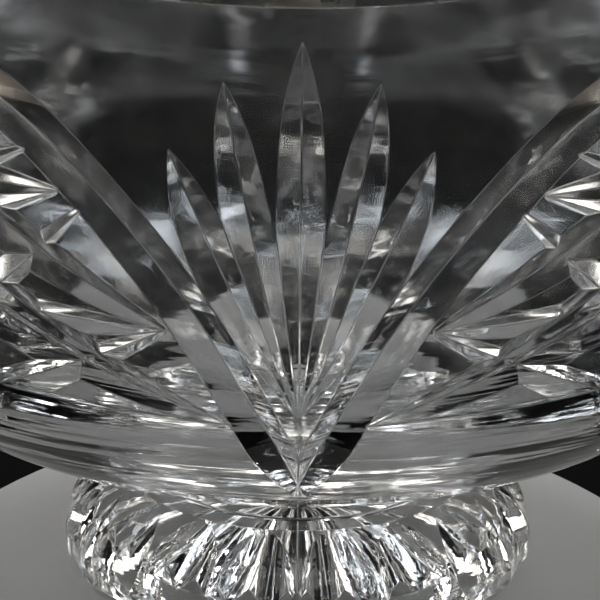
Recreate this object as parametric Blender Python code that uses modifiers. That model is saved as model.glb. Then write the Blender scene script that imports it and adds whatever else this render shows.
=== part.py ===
"""Footed cut-glass rose bowl with a lift-out wire flower grille. Metres, +Z up, standing on z = 0."""
import math

import bmesh
import bpy
import numpy as np
from mathutils import Vector

# Foot
FOOT_RADIUS = 0.046
FOOT_EDGE_HEIGHT = 0.005
FOOT_DOME_RISE = 0.0199
FOOT_DOME_RUN = 0.0114
FOOT_LEDGE = 0.0041
FOOT_BEVEL_WIDTH = 0.0035
FOOT_BEVEL_HEIGHT = 0.0015
FOOT_REST_WIDTH = 0.0065
FOOT_RECESS_DEPTH = 0.002
FLUTE_COUNT = 18
FLUTE_DEPTH = 0.0013
FLUTE_LIFT = 0.0015

# Stem
STEM_HEIGHT = 0.0079
STEM_WAIST_DEPTH = 0.005
STEM_SEAT_MARGIN = 0.0006

# Bowl
BOWL_RADIUS = 0.0966
BOWL_LOWER_DEPTH = 0.0484
BOWL_UPPER_SPAN = 0.080
BOWL_WALL = 0.0075
BOWL_RIM_WALL = 0.005
BOWL_FLOOR = 0.0105
RIM_ABOVE_BELLY = 0.0575
RIM_BEVEL = 0.0008

# Wheel cuts in the bowl: angles in degrees, heights along the wall from the widest ring.
# The star's corners lie along the arch's lower edge and above the seat, by angle from the panel's middle.
REPEATS = 4
MITRE_HALF_ANGLE = 55.0
MITRE_LIFT = 0.002
ARCH_TOP = 0.0426
ARCH_FALL_PER_SQUARE_DEGREE = 0.000026
ARCH_END_DROP = 0.0208
ARCH_END_POWER = 10
ARCH_DEPTH = 0.0028
ARCH_TAIL_ANGLE = 1.0
FAN_BASE = -0.007
FAN_TIPS = {"middle": (0.0, 0.0545), "inner": (8.75, 0.0472), "outer": (13.7, 0.0357)}
FAN_DEPTH = 0.0028
FAN_WIDEST_SHARE = 0.5
FAN_TIP_TAPER = 3.0
STAR_DEPTH = 0.0026
STAR_END_DEPTH = 0.0004
STAR_CORNERS = {
    "crown": (10.0, 0.038), "brow": (15.6, 0.033), "shoulder": (20.1, 0.027), "arm": (22.8, 0.0243),
    "side": (32.4, 0.0072), "low": (38.5, -0.0088), "foot": (8.5, -0.027)}
STAR_LEVEL_CUTS = ("shoulder", "side", "low")
STAR_SLANTED_CUTS = (
    ("side", "crown"), ("low", "shoulder"), ("low", "brow"), ("arm", "foot"), ("side", "foot"))

# Grille
SLEEVE_CLEARANCE = 0.0006
SLEEVE_DEPTH = 0.009
BAND_THICKNESS = 0.001
BAND_LIP = 0.0007
FLANGE_WIDTH = 0.0055
FLANGE_THICKNESS = 0.0012
WIRE_DIAMETER = 0.002
WIRE_COUNT = 7
WIRE_CROWN = 0.010
WIRE_END_HEIGHT = 0.0015

# Gap kept between pieces that touch
CONTACT_GAP = 0.0003

# Fineness of the faceted solids
BOWL_STEPS = 48
FOOT_STEPS = 54
STEM_STEPS = 48
RING_STEPS = 48
ARCH_STATIONS = 25
PETAL_STATIONS = 9
CHORD_STATIONS = 8
WIRE_POINTS = 9

# Sizes that follow from those above
FOOT_TOP_RADIUS = FOOT_RADIUS - FOOT_DOME_RUN
FOOT_REST_RADIUS = FOOT_RADIUS - FOOT_BEVEL_WIDTH
FOOT_RECESS_RADIUS = FOOT_REST_RADIUS - FOOT_REST_WIDTH
STEM_END_RADIUS = FOOT_TOP_RADIUS - FOOT_LEDGE
FOOT_TOP = FOOT_EDGE_HEIGHT + FOOT_DOME_RISE * math.sqrt(1 - (FOOT_TOP_RADIUS / FOOT_RADIUS) ** 2)
STEM_BOTTOM = FOOT_TOP + CONTACT_GAP
STEM_TOP = STEM_BOTTOM + STEM_HEIGHT
BOWL_BOTTOM = STEM_TOP + CONTACT_GAP
BOWL_SEAT_RADIUS = STEM_END_RADIUS + STEM_SEAT_MARGIN
BOWL_SEAT_TURN = math.acos(BOWL_SEAT_RADIUS / BOWL_RADIUS)
BELLY_HEIGHT = BOWL_BOTTOM + BOWL_LOWER_DEPTH * math.sin(BOWL_SEAT_TURN)
RIM_HEIGHT = BELLY_HEIGHT + RIM_ABOVE_BELLY
RIM_TURN = math.asin(RIM_ABOVE_BELLY / BOWL_UPPER_SPAN)


def clear_scene():
    for thing in list(bpy.data.objects):
        bpy.data.objects.remove(thing, do_unlink=True)


def new_collection(name):
    collection = bpy.data.collections.new(name)
    bpy.context.scene.collection.children.link(collection)
    return collection


def new_material(name, colour, roughness, metallic):
    material = bpy.data.materials.new(name)
    material.use_nodes = True
    shader = material.node_tree.nodes["Principled BSDF"]
    shader.inputs["Base Color"].default_value = (*colour, 1.0)
    shader.inputs["Roughness"].default_value = roughness
    shader.inputs["Metallic"].default_value = metallic
    return material


def glass_material(name, colour):
    material = new_material(name, colour, roughness=0.02, metallic=0.0)
    shader = material.node_tree.nodes["Principled BSDF"]
    shader.inputs["Transmission Weight"].default_value = 1.0
    shader.inputs["IOR"].default_value = 1.545
    return material


def turned_object(name, profile, steps, collection, material):
    """A profile of (radius, height) points, from the top down its outer side, turned about the Z axis."""
    mesh = bpy.data.meshes.new(name)
    edges = []
    for index, (radius, _) in enumerate(profile):
        following = (index + 1) % len(profile)
        if radius > 0 or profile[following][0] > 0:
            edges.append((index, following))
    mesh.from_pydata([(radius, 0.0, height) for radius, height in profile], edges, [])
    mesh.materials.append(material)
    turned = bpy.data.objects.new(name, mesh)
    collection.objects.link(turned)
    screw = turned.modifiers.new("Turned", "SCREW")
    screw.axis = "Z"
    screw.angle = math.tau
    screw.steps = steps
    screw.render_steps = steps
    screw.use_merge_vertices = True
    screw.merge_threshold = 0.00001
    screw.use_smooth_shade = True
    return turned


def bowl_wall(turn):
    """Outer point, outward normal and wall thickness; turn runs from the widest ring, up positive."""
    span = BOWL_UPPER_SPAN if turn > 0 else BOWL_LOWER_DEPTH
    point = Vector((BOWL_RADIUS * math.cos(turn), BELLY_HEIGHT + span * math.sin(turn)))
    normal = Vector((math.cos(turn) / BOWL_RADIUS, math.sin(turn) / span)).normalized()
    if turn > 0:
        wall = BOWL_WALL + (BOWL_RIM_WALL - BOWL_WALL) * (turn / RIM_TURN) ** 2
    else:
        wall = BOWL_WALL + (BOWL_FLOOR - BOWL_WALL) * (turn / (math.pi / 2)) ** 2
    return point, normal, wall


def inner_wall_point(turn):
    point, normal, wall = bowl_wall(turn)
    return point - normal * wall


def inner_rim_turn():
    """The turn at which the inner wall reaches the height of the rim."""
    low, high = 0.0, math.pi / 2
    for _ in range(60):
        middle = (low + high) / 2
        if inner_wall_point(middle).y < RIM_HEIGHT:
            low = middle
        else:
            high = middle
    return low


MOUTH_RADIUS = inner_wall_point(inner_rim_turn()).x
RIM_RADIUS = BOWL_RADIUS * math.cos(RIM_TURN)


def bowl_profile(outer_up=7, outer_down=6, inner_up=5, inner_down=6):
    """Rim, down the outside to the flat seat, then up the inside from the middle of the floor."""
    outer_top = RIM_TURN - RIM_BEVEL / BOWL_UPPER_SPAN
    inner_top = inner_rim_turn() - RIM_BEVEL / BOWL_UPPER_SPAN
    rows = [(RIM_RADIUS - RIM_BEVEL, RIM_HEIGHT)]
    for turn in np.linspace(outer_top, 0.0, outer_up):
        rows.append(tuple(bowl_wall(turn)[0]))
    for turn in np.linspace(0.0, -BOWL_SEAT_TURN, outer_down)[1:]:
        rows.append(tuple(bowl_wall(turn)[0]))
    outside = rows + [(0.0, BOWL_BOTTOM)]
    inside = [(0.0, inner_wall_point(-math.pi / 2).y)]
    for turn in np.linspace(-math.pi / 2, 0.0, inner_down)[1:]:
        inside.append(tuple(inner_wall_point(turn)))
    for turn in np.linspace(0.0, inner_top, inner_up)[1:]:
        inside.append(tuple(inner_wall_point(turn)))
    inside.append((MOUTH_RADIUS + RIM_BEVEL, RIM_HEIGHT))
    return outside, inside


def meridian_table(count=400):
    """Length along the outer wall from the widest ring, for turns from the seat to the rim."""
    turns = np.linspace(-BOWL_SEAT_TURN, RIM_TURN, count)
    points = np.array([tuple(bowl_wall(turn)[0]) for turn in turns])
    lengths = np.concatenate([[0.0], np.cumsum(np.hypot(*np.diff(points, axis=0).T))])
    return turns, lengths - np.interp(0.0, turns, lengths)


TURNS, LENGTHS = meridian_table()


def on_bowl(azimuth, length):
    """Point and outward normal on the bowl at an azimuth in degrees, 0 facing -Y, and a wall length."""
    point, normal, _ = bowl_wall(float(np.interp(length, LENGTHS, TURNS)))
    angle = math.radians(azimuth)
    outward = Vector((math.sin(angle), -math.cos(angle), 0.0))
    up = Vector((0.0, 0.0, 1.0))
    return outward * point.x + up * point.y, outward * normal.x + up * normal.y


def groove_cutter(name, stations, section, collection):
    """A closed loft: each station has a point, its normal and a scale for the section's outline."""
    shape = bmesh.new()
    points = [station[0] for station in stations]
    rings = []
    for index, (point, normal, scale) in enumerate(stations):
        ahead = points[min(index + 1, len(points) - 1)]
        behind = points[max(index - 1, 0)]
        side = normal.cross(ahead - behind).normalized()
        rings.append([shape.verts.new(point + side * across + normal * up) for across, up in section(scale)])
    for near, far in zip(rings, rings[1:]):
        for corner in range(len(near)):
            following = (corner + 1) % len(near)
            shape.faces.new((near[corner], near[following], far[following], far[corner]))
    shape.faces.new(rings[0])
    shape.faces.new(list(reversed(rings[-1])))
    bmesh.ops.recalc_face_normals(shape, faces=shape.faces)
    mesh = bpy.data.meshes.new(name)
    shape.to_mesh(mesh)
    shape.free()
    cutter = bpy.data.objects.new(name, mesh)
    cutter.hide_render = True
    cutter.display_type = "WIRE"
    collection.objects.link(cutter)


def mitre_section(depth):
    """Three corners of the wheel's V edge, its point at the given depth under the surface."""
    half_width = (depth + MITRE_LIFT) * math.tan(math.radians(MITRE_HALF_ANGLE))
    return [(0.0, -depth), (half_width, MITRE_LIFT), (-half_width, MITRE_LIFT)]


def arch_height(offset):
    """Wall length of the arch's bottom line at an angle from its panel's middle; its ends plunge."""
    end_drop = ARCH_END_DROP * (abs(offset) * REPEATS / 180.0) ** ARCH_END_POWER
    return ARCH_TOP - ARCH_FALL_PER_SQUARE_DEGREE * offset ** 2 - end_drop


def arch_stations(panel):
    reach = 180.0 / REPEATS + ARCH_TAIL_ANGLE
    stations = []
    for share in np.sin(np.linspace(-math.pi / 2, math.pi / 2, ARCH_STATIONS)):
        point, normal = on_bowl(panel + share * reach, arch_height(share * reach))
        run_out = min(1.0, (1.0 - abs(share)) * reach / ARCH_TAIL_ANGLE)
        stations.append((point, normal, ARCH_DEPTH * run_out))
    return stations


def petal_depth(share):
    if share < FAN_WIDEST_SHARE:
        return FAN_DEPTH * share / FAN_WIDEST_SHARE
    return FAN_DEPTH * (1 - ((share - FAN_WIDEST_SHARE) / (1 - FAN_WIDEST_SHARE)) ** FAN_TIP_TAPER)


def chord_depth(share):
    return STAR_END_DEPTH + (STAR_DEPTH - STAR_END_DEPTH) * (1 - (2 * share - 1) ** 2)


def straight_stations(start, end, depth_at, count):
    """A cut that is straight on the unrolled wall, from one (azimuth, length) to another."""
    stations = []
    for share in np.linspace(0.0, 1.0, count):
        azimuth = start[0] + (end[0] - start[0]) * share
        length = start[1] + (end[1] - start[1]) * share
        stations.append((*on_bowl(azimuth, length), depth_at(share)))
    return stations


def star_chords(panel):
    """Pairs of (azimuth, length) points that the star's straight cuts join."""
    def corner(name, sign):
        offset, length = STAR_CORNERS[name]
        return (panel + sign * offset, length)

    chords = [(corner(name, 1), corner(name, -1)) for name in STAR_LEVEL_CUTS]
    for start, end in STAR_SLANTED_CUTS:
        for sign in (1, -1):
            chords.append((corner(start, sign), corner(end, -sign)))
    return chords


def cut_bowl(bowl, cutters):
    half_panel = 180.0 / REPEATS
    for repeat in range(REPEATS):
        fan_azimuth = 2 * half_panel * repeat
        panel = fan_azimuth + half_panel
        groove_cutter(f"arch_cut_{repeat}", arch_stations(panel), mitre_section, cutters)
        for name, (offset, tip) in FAN_TIPS.items():
            for sign in (1, -1) if offset else (1,):
                stations = straight_stations(
                    (fan_azimuth, FAN_BASE), (fan_azimuth + sign * offset, tip), petal_depth, PETAL_STATIONS)
                groove_cutter(f"fan_cut_{repeat}_{name}_{sign}", stations, mitre_section, cutters)
        for index, (start, end) in enumerate(star_chords(panel)):
            stations = straight_stations(start, end, chord_depth, CHORD_STATIONS)
            groove_cutter(f"star_cut_{repeat}_{index}", stations, mitre_section, cutters)
    wheel_cuts = bowl.modifiers.new("Wheel cuts", "BOOLEAN")
    wheel_cuts.operation = "DIFFERENCE"
    wheel_cuts.operand_type = "COLLECTION"
    wheel_cuts.collection = cutters


def make_bowl(parts, cutters, glass):
    outside, inside = bowl_profile()
    bowl = turned_object("bowl", outside + inside, BOWL_STEPS, parts, glass)
    cut_bowl(bowl, cutters)


def foot_dome(turn):
    """Point and outward normal of the domed foot; turn runs from the widest ring upwards."""
    point = Vector((FOOT_RADIUS * math.cos(turn), FOOT_EDGE_HEIGHT + FOOT_DOME_RISE * math.sin(turn)))
    normal = Vector((math.cos(turn) / FOOT_RADIUS, math.sin(turn) / FOOT_DOME_RISE)).normalized()
    return point, normal


FOOT_TOP_TURN = math.acos(FOOT_TOP_RADIUS / FOOT_RADIUS)


def foot_profile(dome_rows=7):
    rows = [(0.0, FOOT_TOP)]
    for turn in np.linspace(FOOT_TOP_TURN, 0.0, dome_rows):
        rows.append(tuple(foot_dome(turn)[0]))
    rows.append((FOOT_RADIUS, FOOT_BEVEL_HEIGHT))
    rows.append((FOOT_REST_RADIUS, 0.0))
    rows.append((FOOT_RECESS_RADIUS, 0.0))
    rows.append((FOOT_RECESS_RADIUS - FOOT_RECESS_DEPTH, FOOT_RECESS_DEPTH))
    rows.append((0.0, FOOT_RECESS_DEPTH))
    return rows


def flute_section(place, corners=7):
    """Hollow arc of one flute, as wide as its share of the foot's ring, with its ends on the dome."""
    radius, lean, depth = place
    half_width = math.pi * radius / FLUTE_COUNT
    drop = half_width ** 2 * lean / (2 * radius)
    wheel = (half_width ** 2 + depth ** 2) / (2 * depth)
    reach = math.acos((wheel - depth - drop - FLUTE_LIFT) / wheel)
    arc = []
    for angle in np.linspace(-reach, reach, corners):
        arc.append((wheel * math.sin(angle), wheel * (1 - math.cos(angle)) - depth - drop))
    return arc


def flute_stations(azimuth, rows=6):
    """Up the foot's edge from under the table's level, then over the dome to the shoulder."""
    angle = math.radians(azimuth)
    outward = Vector((math.sin(angle), -math.cos(angle), 0.0))
    up = Vector((0.0, 0.0, 1.0))
    below = outward * FOOT_RADIUS - up * FLUTE_LIFT
    stations = [(below, outward, (FOOT_RADIUS, 1.0, FLUTE_DEPTH))]
    for turn in np.linspace(0.0, FOOT_TOP_TURN, rows):
        point, normal = foot_dome(turn)
        run_out = FLUTE_DEPTH * (turn / FOOT_TOP_TURN) ** 3
        place = outward * (point.x + normal.x * run_out) + up * (point.y + normal.y * run_out)
        depth = FLUTE_DEPTH * point.x / FOOT_RADIUS
        stations.append((place, outward * normal.x + up * normal.y, (point.x, normal.x, depth)))
    return stations


def make_foot(parts, cutters, glass):
    foot = turned_object("foot", foot_profile(), FOOT_STEPS, parts, glass)
    for index in range(FLUTE_COUNT):
        azimuth = 360.0 * (index + 0.5) / FLUTE_COUNT
        groove_cutter(f"flute_cut_{index}", flute_stations(azimuth), flute_section, cutters)
    flutes = foot.modifiers.new("Flutes", "BOOLEAN")
    flutes.operation = "DIFFERENCE"
    flutes.operand_type = "COLLECTION"
    flutes.collection = cutters


def make_stem(parts, glass, waist_rows=7):
    """A button of glass drawn in at its waist, flat at both ends."""
    rows = [(0.0, STEM_TOP)]
    for share in np.linspace(1.0, 0.0, waist_rows):
        radius = STEM_END_RADIUS - STEM_WAIST_DEPTH * math.sin(math.pi * share)
        rows.append((radius, STEM_BOTTOM + STEM_HEIGHT * share))
    rows.append((0.0, STEM_BOTTOM))
    turned_object("stem", rows, STEM_STEPS, parts, glass)


# Sizes of the grille that follow from the bowl's mouth, heights from the rim
BAND_OUTER_RADIUS = MOUTH_RADIUS - SLEEVE_CLEARANCE
BAND_INNER_RADIUS = BAND_OUTER_RADIUS - BAND_THICKNESS
FLANGE_RADIUS = MOUTH_RADIUS + FLANGE_WIDTH
FLANGE_TOP = CONTACT_GAP + FLANGE_THICKNESS
WIRE_REACH = BAND_INNER_RADIUS - CONTACT_GAP
DOME_RADIUS = (WIRE_REACH ** 2 + WIRE_CROWN ** 2) / (2 * WIRE_CROWN)
DOME_CENTRE = FLANGE_TOP + WIRE_END_HEIGHT + WIRE_CROWN - DOME_RADIUS
LAYER_STEP = WIRE_DIAMETER + CONTACT_GAP
BAND_TOP = FLANGE_TOP + WIRE_END_HEIGHT + LAYER_STEP + WIRE_DIAMETER / 2 + BAND_LIP
WIRE_PITCH = 2 * WIRE_REACH / (WIRE_COUNT + 1)


def make_grille_ring(parts, silver, lift):
    profile = [
        (BAND_OUTER_RADIUS, BAND_TOP),
        (BAND_OUTER_RADIUS, FLANGE_TOP),
        (FLANGE_RADIUS, FLANGE_TOP),
        (FLANGE_RADIUS, CONTACT_GAP),
        (BAND_OUTER_RADIUS, CONTACT_GAP),
        (BAND_OUTER_RADIUS, -SLEEVE_DEPTH),
        (BAND_INNER_RADIUS, -SLEEVE_DEPTH),
        (BAND_INNER_RADIUS, BAND_TOP),
    ]
    ring = turned_object("grille_ring", profile, RING_STEPS, parts, silver)
    ring.parent = lift


def make_wire(name, offset, along_y, parts, silver, lift):
    """One domed wire; the wires along Y cross over those along X and rest on them."""
    dome = DOME_RADIUS + (LAYER_STEP if along_y else 0.0)
    half_length = math.sqrt(WIRE_REACH ** 2 - (abs(offset) + WIRE_DIAMETER / 2) ** 2)
    curve = bpy.data.curves.new(name, "CURVE")
    curve.dimensions = "3D"
    curve.bevel_depth = WIRE_DIAMETER / 2
    curve.bevel_resolution = 1
    curve.use_fill_caps = True
    curve.materials.append(silver)
    spline = curve.splines.new("POLY")
    spline.points.add(WIRE_POINTS - 1)
    for point, run in zip(spline.points, np.linspace(-half_length, half_length, WIRE_POINTS)):
        height = DOME_CENTRE + math.sqrt(dome ** 2 - run ** 2 - offset ** 2)
        point.co = (offset, run, height, 1.0) if along_y else (run, offset, height, 1.0)
    wire = bpy.data.objects.new(name, curve)
    wire.parent = lift
    parts.objects.link(wire)


def make_grille(parts, silver):
    lift = bpy.data.objects.new("grille_lift", None)
    lift.location = (0.0, 0.0, RIM_HEIGHT)
    parts.objects.link(lift)
    make_grille_ring(parts, silver, lift)
    for index in range(WIRE_COUNT):
        offset = (index - (WIRE_COUNT - 1) / 2) * WIRE_PITCH
        make_wire(f"grille_wire_x{index + 1}", offset, False, parts, silver, lift)
        make_wire(f"grille_wire_y{index + 1}", offset, True, parts, silver, lift)


def main():
    clear_scene()
    parts = new_collection("rose_bowl")
    bowl_cutters = new_collection("bowl_cutters")
    foot_cutters = new_collection("foot_cutters")
    glass = glass_material("cut_crystal", (0.93, 0.95, 0.96))
    silver = new_material("silver_plate", (0.80, 0.79, 0.76), roughness=0.25, metallic=1.0)
    make_foot(parts, foot_cutters, glass)
    make_stem(parts, glass)
    make_bowl(parts, bowl_cutters, glass)
    make_grille(parts, silver)


main()
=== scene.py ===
"""Footed cut-crystal rose bowl with a lift-out flower grille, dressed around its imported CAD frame."""
import math

import bpy
import numpy as np
from mathutils import Matrix, Vector


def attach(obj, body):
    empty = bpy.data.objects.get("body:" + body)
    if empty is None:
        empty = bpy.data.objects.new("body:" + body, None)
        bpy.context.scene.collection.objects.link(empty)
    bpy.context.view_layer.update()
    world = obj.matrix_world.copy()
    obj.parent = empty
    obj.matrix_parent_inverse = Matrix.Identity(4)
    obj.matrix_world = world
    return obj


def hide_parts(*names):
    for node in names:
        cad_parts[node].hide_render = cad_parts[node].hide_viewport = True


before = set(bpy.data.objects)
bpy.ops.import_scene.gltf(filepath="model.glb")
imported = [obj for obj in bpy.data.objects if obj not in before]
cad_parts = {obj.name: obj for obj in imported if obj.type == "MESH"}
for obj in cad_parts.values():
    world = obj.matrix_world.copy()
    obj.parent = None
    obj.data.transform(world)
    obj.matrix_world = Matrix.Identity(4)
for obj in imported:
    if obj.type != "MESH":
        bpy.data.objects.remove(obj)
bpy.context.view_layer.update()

# Foot: a thick domed disc of lead crystal, fused hot to the stem and cut cold on a stone wheel.
# Eighteen hollow flutes run down the dome and end in shallow thumb-marks at its scalloped edge.
# Underneath, a ground ring meets the table, and a star of V cuts fills the hollow inside it.
FOOT_RADIUS = 0.046
FOOT_EDGE_HEIGHT = 0.005
FOOT_DOME_RISE = 0.0199
FOOT_TOP_RADIUS = 0.0346
FOOT_BEVEL_WIDTH = 0.0035
FOOT_BEVEL_HEIGHT = 0.0015
FOOT_REST_WIDTH = 0.0065
FOOT_RECESS = 0.002
REST_TOUCH = 0.0001
FOOT_STEPS = 216
DOME_STATIONS = 24
FLUTE_COUNT = 18
FLUTE_DEPTH = 0.0013
FLUTE_SETS = 3
FLUTE_STATIONS = 22
FLUTE_START_HEIGHTS = (-0.004, 0.001)
FLUTE_OVERRUN = 0.12
FLUTE_END_TURN = 0.45
FLUTE_END_LIFT = 0.75
FLUTE_WHEEL_SIDES = 72
BASE_STAR_RAYS = 24
BASE_STAR_REACH = (0.006, 0.0335)
BASE_STAR_SLOPE = 0.075
BASE_STAR_STATIONS = 12
MITRE_HALF_ANGLE = math.radians(55.0)
MITRE_BACK = 0.15
MITRE_CLEAR_SHARE = 0.6
STEM_RADIUS = 0.0305
FOOT_TOP_TURN = math.acos(FOOT_TOP_RADIUS / FOOT_RADIUS)
FOOT_TOP = FOOT_EDGE_HEIGHT + FOOT_DOME_RISE * math.sin(FOOT_TOP_TURN)
UP = Vector((0.0, 0.0, 1.0))
LEVEL_TOLERANCE = 0.00005
TURNED_MATCH = 0.9986
CRYSTAL_INDEX = 1.545
CRYSTAL_TINTS = ((0.975, 0.985, 0.99, 1.0), (0.99, 0.995, 1.0, 1.0))
RIPPLE_SCALE = (18.0, 18.0, 320.0)
RIPPLE_DEPTH = 0.001
RIPPLE_HEIGHTS = (0.052, 0.078)
RIPPLE_STRENGTHS = (0.28, 0.07)
WATER_LINE = (0.068, 0.090)
POLISH_SCALE = 260.0
POLISH_ENDS = (0.35, 0.75)
LEAST_HAZE = 0.6
WORN_EDGE_RADIUS = 0.00045
WORN_EDGE_ENDS = (0.965, 0.996)


def outward_at(azimuth):
    """Level direction away from the axis; azimuth in degrees, 0 towards the camera."""
    angle = math.radians(azimuth)
    return Vector((math.sin(angle), -math.cos(angle), 0.0))


def ranged(tree, value, ends, results, smooth=False):
    """Takes a value from between two ends to between two results, in a straight line or smoothly."""
    step = tree.nodes.new("ShaderNodeMapRange")
    step.interpolation_type = "SMOOTHSTEP" if smooth else "LINEAR"
    step.inputs["From Min"].default_value, step.inputs["From Max"].default_value = ends
    step.inputs["To Min"].default_value, step.inputs["To Max"].default_value = results
    tree.links.new(value, step.inputs["Value"])
    return step.outputs["Result"]


def by_height(tree, place, heights, values):
    """A value that eases from one to another between two heights on the glass."""
    height = tree.nodes.new("ShaderNodeSeparateXYZ")
    tree.links.new(place.outputs["Object"], height.inputs["Vector"])
    return ranged(tree, height.outputs["Z"], heights, values, smooth=True)


def lead_crystal(name, haze, edge_wear=0.0, below_water=1.0):
    """Clear lead crystal, rippled in level bands where it turned in the mould. Haze is how dull its
    polish is, below water the share of it under the water line, and edge wear how much the rubbed
    edges of the cuts scatter."""
    material = bpy.data.materials.new(name)
    material.use_nodes = True
    tree = material.node_tree
    nodes, links = tree.nodes, tree.links
    shader = nodes["Principled BSDF"]
    shader.inputs["Transmission Weight"].default_value = 1.0
    shader.inputs["IOR"].default_value = CRYSTAL_INDEX
    place = nodes.new("ShaderNodeTexCoord")
    bands = nodes.new("ShaderNodeMapping")
    bands.inputs["Scale"].default_value = RIPPLE_SCALE
    links.new(place.outputs["Object"], bands.inputs["Vector"])
    ripple = nodes.new("ShaderNodeTexNoise")
    ripple.inputs["Scale"].default_value = 1.0
    ripple.inputs["Detail"].default_value = 2.0
    links.new(bands.outputs["Vector"], ripple.inputs["Vector"])
    bump = nodes.new("ShaderNodeBump")
    bump.inputs["Distance"].default_value = RIPPLE_DEPTH
    strength = by_height(tree, place, RIPPLE_HEIGHTS, RIPPLE_STRENGTHS)
    links.new(strength, bump.inputs["Strength"])
    links.new(ripple.outputs["Fac"], bump.inputs["Height"])
    links.new(bump.outputs["Normal"], shader.inputs["Normal"])
    polish = nodes.new("ShaderNodeTexNoise")
    polish.inputs["Scale"].default_value = POLISH_SCALE
    polish.inputs["Detail"].default_value = 4.0
    links.new(place.outputs["Object"], polish.inputs["Vector"])
    stained = nodes.new("ShaderNodeMath")
    stained.operation = "MULTIPLY"
    links.new(ranged(tree, polish.outputs["Fac"], POLISH_ENDS, (LEAST_HAZE * haze, haze)), stained.inputs[0])
    links.new(by_height(tree, place, WATER_LINE, (below_water, 1.0)), stained.inputs[1])
    links.new(stained.outputs[0], shader.inputs["Roughness"])
    if edge_wear:
        softened = nodes.new("ShaderNodeBevel")
        softened.samples = 8
        softened.inputs["Radius"].default_value = WORN_EDGE_RADIUS
        links.new(softened.outputs["Normal"], bump.inputs["Normal"])
        flat = nodes.new("ShaderNodeNewGeometry")
        turned_away = nodes.new("ShaderNodeVectorMath")
        turned_away.operation = "DOT_PRODUCT"
        links.new(softened.outputs["Normal"], turned_away.inputs[0])
        links.new(flat.outputs["Normal"], turned_away.inputs[1])
        clear = ranged(tree, turned_away.outputs["Value"], WORN_EDGE_ENDS, (1.0 - edge_wear, 1.0))
        links.new(clear, shader.inputs["Transmission Weight"])
    tint = nodes.new("ShaderNodeMix")
    tint.data_type = "RGBA"
    tint.inputs["A"].default_value, tint.inputs["B"].default_value = CRYSTAL_TINTS
    links.new(ripple.outputs["Fac"], tint.inputs["Factor"])
    links.new(tint.outputs["Result"], shader.inputs["Base Color"])
    return material


def fused_joint():
    """Faces where two pieces of hot glass have run together, so that no surface is left to see."""
    material = bpy.data.materials.new("fused_joint")
    material.use_nodes = True
    shader = material.node_tree.nodes["Principled BSDF"]
    shader.inputs["Base Color"].default_value = (1.0, 1.0, 1.0, 1.0)
    shader.inputs["Alpha"].default_value = 0.0
    return material


def turned(name, profile, steps, *materials):
    """A closed profile of (radius, height) points, from the top down its outer side, turned about Z."""
    mesh = bpy.data.meshes.new(name)
    edges = []
    for index, (radius, _) in enumerate(profile):
        following = (index + 1) % len(profile)
        if radius > 0 or profile[following][0] > 0:
            edges.append((index, following))
    mesh.from_pydata([(radius, 0.0, height) for radius, height in profile], edges, [])
    for material in materials:
        mesh.materials.append(material)
    piece = bpy.data.objects.new(name, mesh)
    bpy.context.scene.collection.objects.link(piece)
    screw = piece.modifiers.new("Turned", "SCREW")
    screw.angle = math.tau
    screw.steps = steps
    screw.render_steps = steps
    screw.use_merge_vertices = True
    screw.merge_threshold = 0.000001
    return piece


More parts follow.
